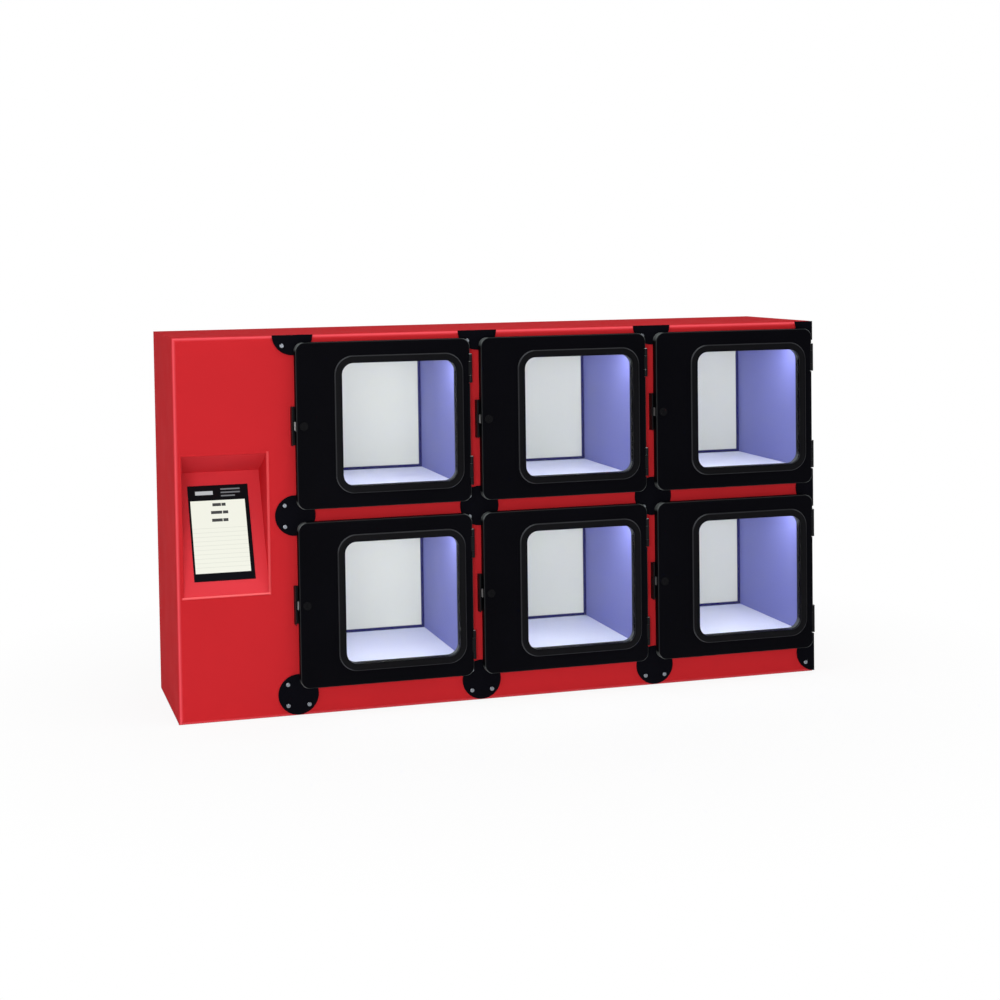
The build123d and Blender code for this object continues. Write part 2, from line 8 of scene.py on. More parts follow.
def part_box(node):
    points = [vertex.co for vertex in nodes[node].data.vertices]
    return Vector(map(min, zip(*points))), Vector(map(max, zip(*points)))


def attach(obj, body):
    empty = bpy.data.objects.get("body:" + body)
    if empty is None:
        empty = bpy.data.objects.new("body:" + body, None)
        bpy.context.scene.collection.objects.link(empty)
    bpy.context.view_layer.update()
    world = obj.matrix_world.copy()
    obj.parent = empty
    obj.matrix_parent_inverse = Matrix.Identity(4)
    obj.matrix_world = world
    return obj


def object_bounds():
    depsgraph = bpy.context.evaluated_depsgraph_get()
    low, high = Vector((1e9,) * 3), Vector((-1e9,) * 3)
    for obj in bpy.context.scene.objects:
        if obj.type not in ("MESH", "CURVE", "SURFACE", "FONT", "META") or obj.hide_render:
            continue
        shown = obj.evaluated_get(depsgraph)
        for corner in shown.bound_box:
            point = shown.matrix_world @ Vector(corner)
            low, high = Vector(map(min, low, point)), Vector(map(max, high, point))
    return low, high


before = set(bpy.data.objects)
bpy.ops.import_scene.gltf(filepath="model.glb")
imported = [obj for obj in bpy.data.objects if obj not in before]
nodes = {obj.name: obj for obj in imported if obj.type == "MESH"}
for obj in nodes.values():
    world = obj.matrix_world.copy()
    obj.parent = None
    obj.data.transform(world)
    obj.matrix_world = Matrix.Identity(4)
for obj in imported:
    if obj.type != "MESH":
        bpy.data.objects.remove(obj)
cad_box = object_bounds()

# Camera: place in metres, turns in degrees, lens and sensor in millimetres

CAMERA_PLACE = Vector((-1.2305, -4.241, 1.0475))
CAMERA_YAW, CAMERA_PITCH, CAMERA_ROLL = 16.59, 2.5, -0.79
CAMERA_LENS, CAMERA_SENSOR = 65.88, 36.0
CAMERA_SHIFT_Y = -0.17


def make_camera():
    yaw, pitch, roll = (math.radians(a) for a in (CAMERA_YAW, CAMERA_PITCH, CAMERA_ROLL))
    level = math.cos(pitch)
    forward = Vector((math.sin(yaw) * level, math.cos(yaw) * level, -math.sin(pitch)))
    right = Vector((math.cos(yaw), -math.sin(yaw), 0.0))
    up = right.cross(forward)
    right_rolled = math.cos(roll) * right + math.sin(roll) * up
    up_rolled = -math.sin(roll) * right + math.cos(roll) * up
    data = bpy.data.cameras.new("camera")
    data.lens = CAMERA_LENS
    data.sensor_width = CAMERA_SENSOR
    data.shift_y = CAMERA_SHIFT_Y
    camera = bpy.data.objects.new("camera", data)
    bpy.context.scene.collection.objects.link(camera)
    turn = Matrix((right_rolled, up_rolled, -forward)).transposed().to_4x4()
    camera.matrix_world = Matrix.Translation(CAMERA_PLACE) @ turn
    bpy.context.scene.camera = camera


make_camera()
bpy.context.scene.view_settings.view_transform = "Standard"

# Material tools

# where most values of a noise lie
NOISE_MIDDLE = (0.3, 0.7)


class Nodes:
    """Short calls for building one material's nodes."""

    def __init__(self, name):
        self.material = bpy.data.materials.new(name)
        self.material.use_nodes = True
        self.tree = self.material.node_tree
        self.shader = self.tree.nodes["Principled BSDF"]
        self.output = self.tree.nodes["Material Output"]
        self._place = None

    def add(self, kind, **settings):
        node = self.tree.nodes.new(kind)
        for key, value in settings.items():
            setattr(node, key, value)
        return node

    def link(self, source, target):
        self.tree.links.new(source, target)

    def fill(self, target, value):
        """Links a socket into the target, or gives the target a plain value."""
        if hasattr(value, "is_linked"):
            self.link(value, target)
        else:
            target.default_value = value

    def set(self, **values):
        for key, value in values.items():
            self.shader.inputs[key.replace("_", " ")].default_value = value

    @property
    def place(self):
        """Object coordinates, which are metres in the shared frame at rest."""
        if self._place is None:
            self._place = self.add("ShaderNodeTexCoord").outputs["Object"]
        return self._place

    @property
    def normal(self):
        """The surface's own direction, in object coordinates."""
        return self.add("ShaderNodeTexCoord").outputs["Normal"]

    def axes(self, vector):
        """The X, Y and Z parts of a vector."""
        node = self.add("ShaderNodeSeparateXYZ")
        self.link(vector, node.inputs[0])
        return node.outputs

    def noise(self, scale, detail=2.0, stretch=None):
        node = self.add("ShaderNodeTexNoise")
        node.inputs["Scale"].default_value = scale
        node.inputs["Detail"].default_value = detail
        source = self.place
        if stretch:
            mapping = self.add("ShaderNodeMapping")
            mapping.inputs["Scale"].default_value = stretch
            self.link(source, mapping.inputs["Vector"])
            source = mapping.outputs["Vector"]
        self.link(source, node.inputs["Vector"])
        return node.outputs["Fac"]

    def map_range(self, value, low, high, to_low, to_high):
        node = self.add("ShaderNodeMapRange")
        self.link(value, node.inputs["Value"])
        for key, number in (("From Min", low), ("From Max", high), ("To Min", to_low), ("To Max", to_high)):
            node.inputs[key].default_value = number
        return node.outputs["Result"]

    def noise_range(self, noise, to_low, to_high):
        """A noise's usual values, spread over the given range."""
        return self.map_range(noise, *NOISE_MIDDLE, to_low, to_high)

    def mix(self, factor, first, second):
        """A colour mix; factor, first and second are sockets or values."""
        node = self.add("ShaderNodeMix", data_type="RGBA")
        # this node's colour sockets are inputs 6 and 7 and output 2
        for index, value in ((0, factor), (6, first), (7, second)):
            self.fill(node.inputs[index], value)
        return node.outputs[2]

    def math(self, operation, first, second=0.0):
        node = self.add("ShaderNodeMath", operation=operation)
        self.fill(node.inputs[0], first)
        self.fill(node.inputs[1], second)
        return node.outputs[0]

    def mix_surfaces(self, factor, first, second):
        """Sends a mix of two shaders to the material's surface."""
        node = self.add("ShaderNodeMixShader")
        for target, source in zip(node.inputs, (factor, first, second)):
            self.link(source, target)
        self.link(node.outputs["Shader"], self.output.inputs["Surface"])

    def bump(self, height, strength, distance):
        node = self.add("ShaderNodeBump")
        node.inputs["Strength"].default_value = strength
        node.inputs["Distance"].default_value = distance
        self.link(height, node.inputs["Height"])
        self.link(node.outputs["Normal"], self.shader.inputs["Normal"])


def rgba(colour):
    return (*colour, 1.0)


# the largest part of the surface's direction, where a bend starts and well into it
FLAT_PART, BENT_PART = 0.97, 0.76
# the product of its X and Z parts, where an edge starts to turn a corner and where it has turned
CORNER_START, CORNER_FULL = 0.02, 0.22


# the mask that places the painted edge highlights on bends and at an edge's corners
def bend_mask(m, corner_share=0.0):
    """0 on faces square to an axis and up to 1 on rounded edges, read from the surface's direction.
    corner_share moves the weight to where an edge turns a corner of the front."""
    direction = m.axes(m.normal)
    size = [m.math("ABSOLUTE", direction[axis]) for axis in "XYZ"]
    largest = m.math("MAXIMUM", m.math("MAXIMUM", size[0], size[1]), size[2])
    edge = m.map_range(largest, FLAT_PART, BENT_PART, 0.0, 1.0 - corner_share)
    if not corner_share:
        return edge
    both = m.math("MULTIPLY", size[0], size[2])
    return m.math("ADD", edge, m.map_range(both, CORNER_START, CORNER_FULL, 0.0, corner_share))


def varied(m, colour, scale, spread, edge=None, corner_share=0.0):
    """The colour, a little lighter and darker in soft patches, and a painted highlight colour on
    bends and edges."""
    darker = rgba([c * (1 - spread) for c in colour])
    lighter = rgba([min(1.0, c * (1 + spread)) for c in colour])
    result = m.mix(m.noise_range(m.noise(scale, detail=3.0), 0.0, 1.0), darker, lighter)
    if edge:
        # painted highlight: a lighter colour laid on bends and rounded edges
        result = m.mix(bend_mask(m, corner_share), result, rgba(edge))
    m.link(result, m.shader.inputs["Base Color"])


COLOUR_PATCH_SCALE, GLOSS_PATCH_SCALE, GLOSS_SPREAD = 5.0, 14.0, 0.04
PEEL_HEIGHT = 0.0004


def paint(name, colour, roughness, peel_scale, peel, specular, spread, edge=None, corner_share=0.0):
    """A sprayed or moulded finish: soft colour patches, uneven gloss and a fine surface texture."""
    m = Nodes(name)
    varied(m, colour, COLOUR_PATCH_SCALE, spread, edge, corner_share)
    gloss = m.noise(GLOSS_PATCH_SCALE, detail=4.0)
    m.link(m.noise_range(gloss, roughness - GLOSS_SPREAD, roughness + GLOSS_SPREAD),
           m.shader.inputs["Roughness"])
    m.set(Specular_IOR_Level=specular)
    m.bump(m.noise(peel_scale), peel, PEEL_HEIGHT)
    return m.material


METAL_PATCH_SCALE, METAL_SPREAD = 30.0, 0.06
LINE_SCALE, LINE_HEIGHT = 900.0, 0.0002
LINE_GLOSS = (-0.08, 0.1)


def brushed(name, colour, roughness, stretch, strength):
    """Bare metal with fine lines along one direction."""
    m = Nodes(name)
    varied(m, colour, METAL_PATCH_SCALE, METAL_SPREAD)
    m.set(Metallic=1.0)
    lines = m.noise(LINE_SCALE, stretch=stretch)
    m.link(m.noise_range(lines, *(roughness + change for change in LINE_GLOSS)),
           m.shader.inputs["Roughness"])
    m.bump(lines, strength, LINE_HEIGHT)
    return m.material


CRYSTAL_SCALE = 70.0
ZINC_DARK, ZINC_LIGHT = (0.50, 0.51, 0.53), (0.64, 0.65, 0.67)
ZINC_ROUGHNESS = (0.34, 0.5)
ZINC_GRAIN_SCALE, ZINC_GRAIN, ZINC_GRAIN_HEIGHT = 600.0, 0.05, 0.0003


def galvanised(name):
    """Zinc-coated sheet: pale grey with faint crystal patches."""
    m = Nodes(name)
    cells = m.add("ShaderNodeTexVoronoi")
    cells.inputs["Scale"].default_value = CRYSTAL_SCALE
    m.link(m.place, cells.inputs["Vector"])
    # one number from 0 to 1 for each crystal
    tone = m.map_range(cells.outputs["Color"], 0.0, 1.0, 0.0, 1.0)
    m.link(m.mix(tone, rgba(ZINC_DARK), rgba(ZINC_LIGHT)), m.shader.inputs["Base Color"])
    m.link(m.map_range(tone, 0.0, 1.0, *ZINC_ROUGHNESS), m.shader.inputs["Roughness"])
    m.set(Metallic=0.85)
    m.bump(m.noise(ZINC_GRAIN_SCALE), ZINC_GRAIN, ZINC_GRAIN_HEIGHT)
    return m.material


GLASS_FACE_GLOSS, GLASS_EDGE_GLOSS = 0.012, 0.45
GLASS_ROUGHNESS, GLASS_RISE = 0.015, 4.0


def pane(name, tint):
    """Clear sheet: light passes with a slight tint, and the face reflects at a glance."""
    m = Nodes(name)
    clear = m.add("ShaderNodeBsdfTransparent")
    clear.inputs["Color"].default_value = rgba(tint)
    gloss = m.add("ShaderNodeBsdfGlossy")
    gloss.inputs["Roughness"].default_value = GLASS_ROUGHNESS
    weight = m.add("ShaderNodeLayerWeight")
    weight.inputs["Blend"].default_value = 0.5
    rise = m.math("POWER", weight.outputs["Facing"], GLASS_RISE)
    share = m.map_range(rise, 0.0, 1.0, GLASS_FACE_GLOSS, GLASS_EDGE_GLOSS)
    m.mix_surfaces(share, clear.outputs["BSDF"], gloss.outputs["BSDF"])
    m.tree.nodes.remove(m.shader)
    return m.material


FROSTED_WHITE = (0.8, 0.82, 0.85)
GLOW_PATCH_SCALE, GLOW_LOW = 60.0, 0.94
FROST_SCALE, FROST, FROST_HEIGHT = 2500.0, 0.05, 0.0002


def glowing(name, colour, strength):
    """A frosted lens that is lit from behind, very slightly uneven."""
    m = Nodes(name)
    m.set(Base_Color=rgba(FROSTED_WHITE), Roughness=0.4)
    glow = m.noise_range(m.noise(GLOW_PATCH_SCALE), GLOW_LOW, 1.0)
    m.link(m.mix(glow, rgba((0, 0, 0)), rgba(colour)), m.shader.inputs["Emission Color"])
    m.set(Emission_Strength=strength)
    m.bump(m.noise(FROST_SCALE), FROST, FROST_HEIGHT)
    return m.material


# Screen: sizes in metres, measured across and up its face from its centre

SCREEN_LOW, SCREEN_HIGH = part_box("display_screen")
SCREEN_CENTRE = (SCREEN_LOW + SCREEN_HIGH) / 2
# up the screen's face, which leans back 26.5 degrees
PANEL_UP = Vector((0.0, 0.4459, 0.8951))
SCREEN_SIZE = (0.137, 0.226)
HEADER_HEIGHT, FOOTER_HEIGHT = 0.0365, 0.018
BORDER_LEFT, BORDER_RIGHT = 0.004, 0.009
ROW_PITCH, ROW_LINE = 0.0102, 0.0012
ROWS_ABOVE_BOTTOM, ROWS_BELOW_FIELD_TOP = 0.03, 0.062
# each bar's distance below the field's top and half its width; its break is in shares of that half
BARS = ((0.0105, 0.0150), (0.0290, 0.0195), (0.0475, 0.0185))
BAR_HALF_HEIGHT, BAR_BREAK = 0.0036, (0.30, 0.38)
TAB_ENDS, TAB_HALF_HEIGHT = (-0.052, -0.012), 0.0045
# each header line's height above the header's middle and its right end
HEADER_LINES = ((0.008, 0.050), (0.0, 0.050), (-0.008, 0.038))
HEADER_LINE_LEFT, HEADER_LINE_HALF_HEIGHT = 0.006, 0.0016
SCREEN_DARK, FACE_DARK = (0.004, 0.004, 0.005), (0.002, 0.002, 0.003)
FIELD_PALE, FIELD_ROW, BAR_DARK = (0.89, 0.90, 0.80), (0.68, 0.70, 0.62), (0.02, 0.02, 0.025)
TAB_GREY, HEADER_GREY = (0.55, 0.56, 0.58), (0.30, 0.31, 0.33)
# how strongly each mark covers what is under it
ROW_COVER, BAR_COVER, TAB_COVER, HEADER_LINE_COVER = 0.55, 0.95, 0.9, 0.6
# how much of the picture shows without the screen's own light
UNLIT_SHARE = 0.04


def screen_picture():
    """A dark frame round a pale field: a tab and three lines in the header, and three short bars
    and faint rows in the field."""
    m = Nodes("screen_picture")
    across = m.math("SUBTRACT", m.axes(m.place)["X"], SCREEN_CENTRE.x)
    offset = m.add("ShaderNodeVectorMath", operation="SUBTRACT")
    offset.inputs[1].default_value = SCREEN_CENTRE
    m.link(m.place, offset.inputs[0])
    dot = m.add("ShaderNodeVectorMath", operation="DOT_PRODUCT")
    dot.inputs[1].default_value = PANEL_UP
    m.link(offset.outputs["Vector"], dot.inputs[0])
    up = dot.outputs["Value"]

    def between(value, low, high):
        above = m.math("GREATER_THAN", value, low)
        below = m.math("LESS_THAN", value, high)
        return m.math("MULTIPLY", above, below)

    def box(x0, x1, z0, z1):
        return m.math("MULTIPLY", between(across, x0, x1), between(up, z0, z1))

    def strip(x0, x1, z, half_height):
        return box(x0, x1, z - half_height, z + half_height)

    def over(mask, cover, colour, below):
        return m.mix(m.math("MULTIPLY", mask, cover), below, rgba(colour))

    half_w, half_h = SCREEN_SIZE[0] / 2, SCREEN_SIZE[1] / 2
    field_top = half_h - HEADER_HEIGHT
    field = box(-half_w + BORDER_LEFT, half_w - BORDER_RIGHT, -half_h + FOOTER_HEIGHT, field_top)
    # faint rows below the three short bars; the added metre keeps the height above 0
    row = m.math("MODULO", m.math("ADD", up, 1.0), ROW_PITCH)
    ruled = between(up, -half_h + ROWS_ABOVE_BOTTOM, field_top - ROWS_BELOW_FIELD_TOP)
    rows = m.math("MULTIPLY", m.math("LESS_THAN", row, ROW_LINE), ruled)
    colour = m.mix(field, rgba(SCREEN_DARK), over(rows, ROW_COVER, FIELD_ROW, rgba(FIELD_PALE)))
    # three short bars in the field, each broken in two by a thin gap
    for down, half in BARS:
        bar = strip(-half, half, field_top - down, BAR_HALF_HEIGHT)
        gap = between(across, *(half * share for share in BAR_BREAK))
        bar = m.math("MULTIPLY", bar, m.math("SUBTRACT", 1.0, gap))
        colour = over(bar, BAR_COVER, BAR_DARK, colour)
    # a plain tab and three plain lines in the header
    header_z = half_h - HEADER_HEIGHT / 2
    colour = over(strip(*TAB_ENDS, header_z, TAB_HALF_HEIGHT), TAB_COVER, TAB_GREY, colour)
    for above, end in HEADER_LINES:
        line = strip(HEADER_LINE_LEFT, end, header_z + above, HEADER_LINE_HALF_HEIGHT)
        colour = over(line, HEADER_LINE_COVER, HEADER_GREY, colour)
    m.link(m.mix(UNLIT_SHARE, rgba(FACE_DARK), colour), m.shader.inputs["Base Color"])
    m.link(colour, m.shader.inputs["Emission Color"])
    m.set(Emission_Strength=0.97, Roughness=0.16, Specular_IOR_Level=0.04)
    return m.material


# The frame's materials

# after the red come two painted highlight colours, one for its bends and edges and one for the bay's lip
RED, RED_EDGE_HIGHLIGHT, LIP_HIGHLIGHT = (0.535, 0.0205, 0.026), (0.80, 0.085, 0.105), (0.98, 0.15, 0.16)
COAT_ROUGHNESS, COAT_PEEL_SCALE, COAT_PEEL = 0.60, 1500.0, 0.06
COAT_SPECULAR, COAT_SPREAD = 0.004, 0.025
COAT = (COAT_ROUGHNESS, COAT_PEEL_SCALE, COAT_PEEL, COAT_SPECULAR, COAT_SPREAD)

# colour, roughness, scale and strength of the fine texture, specular level, spread of the colour
PAINTS = {
    "red_powder_coat": (RED, *COAT),
    # a lighter copy of the red for the screen bay: painted light that makes up for the shade inside the bay
    "red_powder_coat_bay_lit": ((0.64, 0.026, 0.036), *COAT),
    "satin_black": ((0.0022, 0.0022, 0.0034), 0.38, 1300.0, 0.05, 0.015, 0.15),
    "trim_black": ((0.0035, 0.0035, 0.0045), 0.34, 1800.0, 0.04, 0.055, 0.15),
    "plate_black": ((0.003, 0.003, 0.005), 0.42, 1100.0, 0.08, 0.012, 0.15),
    "hinge_black": ((0.006, 0.006, 0.007), 0.4, 1200.0, 0.06, 0.08, 0.15),
    "moulded_black": ((0.007, 0.007, 0.008), 0.5, 2200.0, 0.12, 0.1, 0.1),
    "plug_black": ((0.0045, 0.0045, 0.0055), 0.5, 2200.0, 0.06, 0.04, 0.1),
    "seal_rubber": ((0.008, 0.008, 0.009), 0.75, 1600.0, 0.15, 0.2, 0.15),
    "edge_seal_blue": ((0.006, 0.006, 0.10), 0.6, 900.0, 0.08, 0.2, 0.1),
    "liner_lilac": ((0.168, 0.182, 0.475), 0.50, 700.0, 0.01, 0.25, 0.02),
    "floor_lilac": ((0.84, 0.87, 1.0), 0.6, 700.0, 0.006, 0.12, 0.02),
    "liner_white": ((0.79, 0.80, 0.66), 0.35, 700.0, 0.04, 0.4, 0.015),
    "display_housing": ((0.045, 0.045, 0.05), 0.45, 1200.0, 0.08, 0.4, 0.03),
}
# painted highlights: the lighter colour on bends and rounded edges, and how far it keeps to an edge's
# corners
PAINTED_EDGE_HIGHLIGHTS = {
    "red_powder_coat": (RED_EDGE_HIGHLIGHT, 0.0),
    "red_powder_coat_bay_lit": (RED_EDGE_HIGHLIGHT, 0.0),
    "satin_black": ((0.10, 0.11, 0.11), 0.75),
    "trim_black": ((0.045, 0.047, 0.052), 0.6),
}
# colour, roughness, stretch of the lines along X, Y and Z, and their strength
METALS = {
    "bright_screw": ((0.25, 0.27, 0.30), 0.26, (1.0, 1.0, 1.0), 0.06),
    "hinge_steel": ((0.50, 0.50, 0.51), 0.3, (1.0, 1.0, 12.0), 0.15),
    "bolt_steel": ((0.27, 0.26, 0.26), 0.38, (0.15, 1.0, 6.0), 0.15),
    "light_aluminium": ((0.72, 0.72, 0.75), 0.34, (0.1, 5.0, 5.0), 0.15),
    "blade_steel": ((0.66, 0.64, 0.58), 0.28, (5.0, 0.2, 5.0), 0.15),
}

materials = {name: paint(name, *values, *PAINTED_EDGE_HIGHLIGHTS.get(name, ())) for name, values in PAINTS.items()}
materials.update({name: brushed(name, *values) for name, values in METALS.items()})
materials["zinc_sheet"] = galvanised("zinc_sheet")
materials["door_pane"] = pane("door_pane", (0.965, 0.975, 0.985))
materials["lens_glow"] = glowing("lens_glow", (0.93, 0.95, 1.0), 1.2)
materials["screen_picture"] = screen_picture()

BY_PREFIX = {
    "front_fascia": "red_powder_coat",
    "left_side_panel": "red_powder_coat",
    "right_side_panel": "red_powder_coat",
    "top_cover": "red_powder_coat",
    "rear_panel": "red_powder_coat",
    "base_pan": "zinc_sheet",
    "power_inlet": "moulded_black",
    "kiosk_pocket": "red_powder_coat_bay_lit",
    "display_module": "display_housing",
    "display_screen": "screen_picture",
    "control_box": "zinc_sheet",
    "liner_walls": "liner_lilac",
    "compartment_floors": "floor_lilac",
    "compartment_ceilings": "liner_lilac",
    "rear_liners": "liner_white",
    "rear_edge_seals": "edge_seal_blue",
    "light_channels": "light_aluminium",
    "light_lenses": "lens_glow",
    "door_seals": "seal_rubber",
    "corner_plates": "plate_black",
    "plate_screws": "bright_screw",
    "hinge_brackets": "hinge_black",
    "hinge_pins": "hinge_steel",
    "latch_keepers": "hinge_black",
    "door_frame": "satin_black",
    "door_glass": "door_pane",
    "window_trim": "trim_black",
    "door_leaves": "hinge_black",
    "lock_plug": "plug_black",
    "lock_bolt": "bolt_steel",
}
# soft edges where the real sheet or moulding has them, as widths in metres
EDGE_BREAK = {
    "window_trim": 0.0005,
    "corner_plates": 0.0004,
    "latch_keepers": 0.0004,
    "left_side_panel": 0.0004,
    "right_side_panel": 0.0004,
    "top_cover": 0.0004,
    "power_inlet": 0.0004,
    "hinge_brackets": 0.0003,
    "door_leaves": 0.0003,
    "lock_bolt": 0.0003,
    "control_box": 0.0003,
    "door_glass": 0.0003,
    "kiosk_pocket": 0.0006,
}
SHARP_ANGLE = 40.0


def prefix_of(name):
    return next(prefix for prefix in sorted(BY_PREFIX, key=len, reverse=True) if name.startswith(prefix))


for name, node in nodes.items():
    prefix = prefix_of(name)
    material = materials[BY_PREFIX[prefix]]
    if not node.material_slots:
        node.data.materials.append(material)
    for slot in node.material_slots:
        slot.material = material
    if prefix in EDGE_BREAK:
        bevel = node.modifiers.new("edge", "BEVEL")
        bevel.width = EDGE_BREAK[prefix]
        bevel.segments = 2
        bevel.limit_method = "ANGLE"
        bevel.angle_limit = math.radians(SHARP_ANGLE)
        bevel.harden_normals = True
        bevel.use_clamp_overlap = True

# Added details, with sizes in metres


def new_object(name, mesh_data, material, body):
    obj = bpy.data.objects.new(name, mesh_data)
    bpy.context.scene.collection.objects.link(obj)
    obj.data.materials.append(material)
    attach(obj, body)


ROUND_STEPS = 24


def lathe(bm, profile, turn):
    """Turns a profile of (radius, height) round +Z, then places it."""
    angles = [2 * math.pi * i / ROUND_STEPS for i in range(ROUND_STEPS)]
    rings = []
    for radius, height in profile:
        if radius == 0.0:
            places = [(0.0, 0.0, height)]
        else:
            places = [(radius * math.cos(a), radius * math.sin(a), height) for a in angles]
        rings.append([bm.verts.new(turn @ Vector(place)) for place in places])
    for low, high in zip(rings, rings[1:]):
        for i in range(ROUND_STEPS):
            j = (i + 1) % ROUND_STEPS
            if len(low) == 1:
                bm.faces.new((low[0], high[j], high[i]))
            elif len(high) == 1:
                bm.faces.new((low[i], low[j], high[0]))
            else:
                bm.faces.new((low[i], low[j], high[j], high[i]))


def finish_mesh(bm, name, smooth_angle=SHARP_ANGLE):
    bmesh.ops.recalc_face_normals(bm, faces=bm.faces)
    data = bpy.data.meshes.new(name)
    bm.to_mesh(data)
    bm.free()
    for face in data.polygons:
        face.use_smooth = True
    data.set_sharp_from_angle(angle=math.radians(smooth_angle))
    return data


def facing(direction):
    """A turn that takes +Z to the given direction."""
    return Vector((0, 0, 1)).rotation_difference(Vector(direction)).to_matrix().to_4x4()


# a pan head with a socket, as (radius, height) pairs from the middle of its underside
HEAD = ((0.0, -0.0002), (0.0044, -0.0002), (0.0046, 0.0006), (0.0042, 0.0016), (0.0032, 0.0022),
        (0.0019, 0.0023), (0.0017, 0.0022), (0.0017, 0.0010), (0.0, 0.0010))
TO_REAR, TO_FRONT = (0, 1, 0), (0, -1, 0)


def screws(name, places, direction, scale):
    """A group of pan-head screws in the cabinet at the given places."""
    bm = bmesh.new()
    for place in places:
        lathe(bm, HEAD, Matrix.Translation(Vector(place)) @ facing(direction) @ Matrix.Scale(scale, 4))
    new_object(name, finish_mesh(bm, name), materials["bright_screw"], "cabinet")


def spaced(low, high, count):
    """Even places from low to high, with one at each end."""
    return [low + i * (high - low) / (count - 1) for i in range(count)]


side_low, side_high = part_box("rear_panel")
rear_y = side_high.y

REAR_SCREW_INSET, REAR_SCREW_COLUMNS, REAR_SCREW_ROWS, REAR_SCREW_SCALE = 0.012, 7, 5, 0.8
rear_xs = spaced(side_low.x + REAR_SCREW_INSET, side_high.x - REAR_SCREW_INSET, REAR_SCREW_COLUMNS)
rear_zs = spaced(side_low.z + REAR_SCREW_INSET, side_high.z - REAR_SCREW_INSET, REAR_SCREW_ROWS)
rear_places = [(x, rear_y, z) for x in rear_xs for z in (rear_zs[0], rear_zs[-1])]
rear_places += [(x, rear_y, z) for x in (rear_xs[0], rear_xs[-1]) for z in rear_zs[1:-1]]
screws("rear_panel_screws", rear_places, TO_REAR, REAR_SCREW_SCALE)

INLET_SCREW_OFFSET, INLET_SCREW_SCALE = 0.0265, 0.42
inlet_low, inlet_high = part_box("power_inlet")
inlet_x, inlet_z = (inlet_low.x + inlet_high.x) / 2, (inlet_low.z + inlet_high.z) / 2
inlet_places = [(inlet_x + side * INLET_SCREW_OFFSET, inlet_high.y, inlet_z) for side in (-1, 1)]
screws("inlet_screws", inlet_places, TO_REAR, INLET_SCREW_SCALE)

BLADE_PLACES = ((-0.007, -0.002), (0.007, -0.002), (0.0, 0.003))
BLADE_SIZE, BLADE_EDGE = Vector((0.0022, 0.0160, 0.0052)), 0.0002
# how far the blades' tips lie inside the rear panel's outer face
BLADE_TIP_DEPTH = 0.00185
BLADE_TIP_WIDTH, BLADE_TIP_HEIGHT = 0.7, 0.85


def blades():
    """Bright sleeves round the three blades of the inlet."""
    bm = bmesh.new()
    for dx, dz in BLADE_PLACES:
        centre = Vector((inlet_x + dx, rear_y - BLADE_TIP_DEPTH - BLADE_SIZE.y / 2, inlet_z + dz))
        made = bmesh.ops.create_cube(bm, size=1.0)["verts"]
        bmesh.ops.scale(bm, vec=BLADE_SIZE, verts=made)
        for tip in (v for v in made if v.co.y > 0):
            tip.co.x *= BLADE_TIP_WIDTH
            tip.co.z *= BLADE_TIP_HEIGHT
        bmesh.ops.translate(bm, vec=centre, verts=made)
    bmesh.ops.bevel(bm, geom=list(bm.edges), offset=BLADE_EDGE, segments=1, affect="EDGES")
    new_object("inlet_blades", finish_mesh(bm, "inlet_blades"), materials["blade_steel"], "cabinet")


blades()

POCKET_WALL = 0.0015
LIP_RADIUS, LIP_SETBACK, LIP_STEPS, LIP_SMOOTH_ANGLE = 0.0030, 0.0018, 16, 50.0
# the Z part of the bottom lip's direction, where its painted highlight starts and where it is full
LIP_UNDERSIDE, LIP_FRONT = -0.5, 0.1
# how strong the painted highlight is on the lip's right side
LIP_RIGHT_SHARE = 0.35


def lip_paint(name, bottom_z, right_x):
    """The red finish on the bay's rolled edge, with a painted highlight along its bottom and, weaker,
    on its right."""
    m = Nodes(name)
    place, direction = m.axes(m.place), m.axes(m.normal)
    bottom = m.math("MULTIPLY", m.math("LESS_THAN", place["Z"], bottom_z),
                    m.map_range(direction["Z"], LIP_UNDERSIDE, LIP_FRONT, 0.0, 1.0))
    right = m.math("MULTIPLY", m.math("GREATER_THAN", place["X"], right_x), LIP_RIGHT_SHARE)
    # painted highlight: a lighter red on the bottom and the right of the lip
    m.link(m.mix(m.math("MAXIMUM", bottom, right), rgba(RED), rgba(LIP_HIGHLIGHT)), m.shader.inputs["Base Color"])
    m.set(Roughness=COAT_ROUGHNESS, Specular_IOR_Level=COAT_SPECULAR)
    m.bump(m.noise(COAT_PEEL_SCALE), COAT_PEEL, PEEL_HEIGHT)
    return m.material


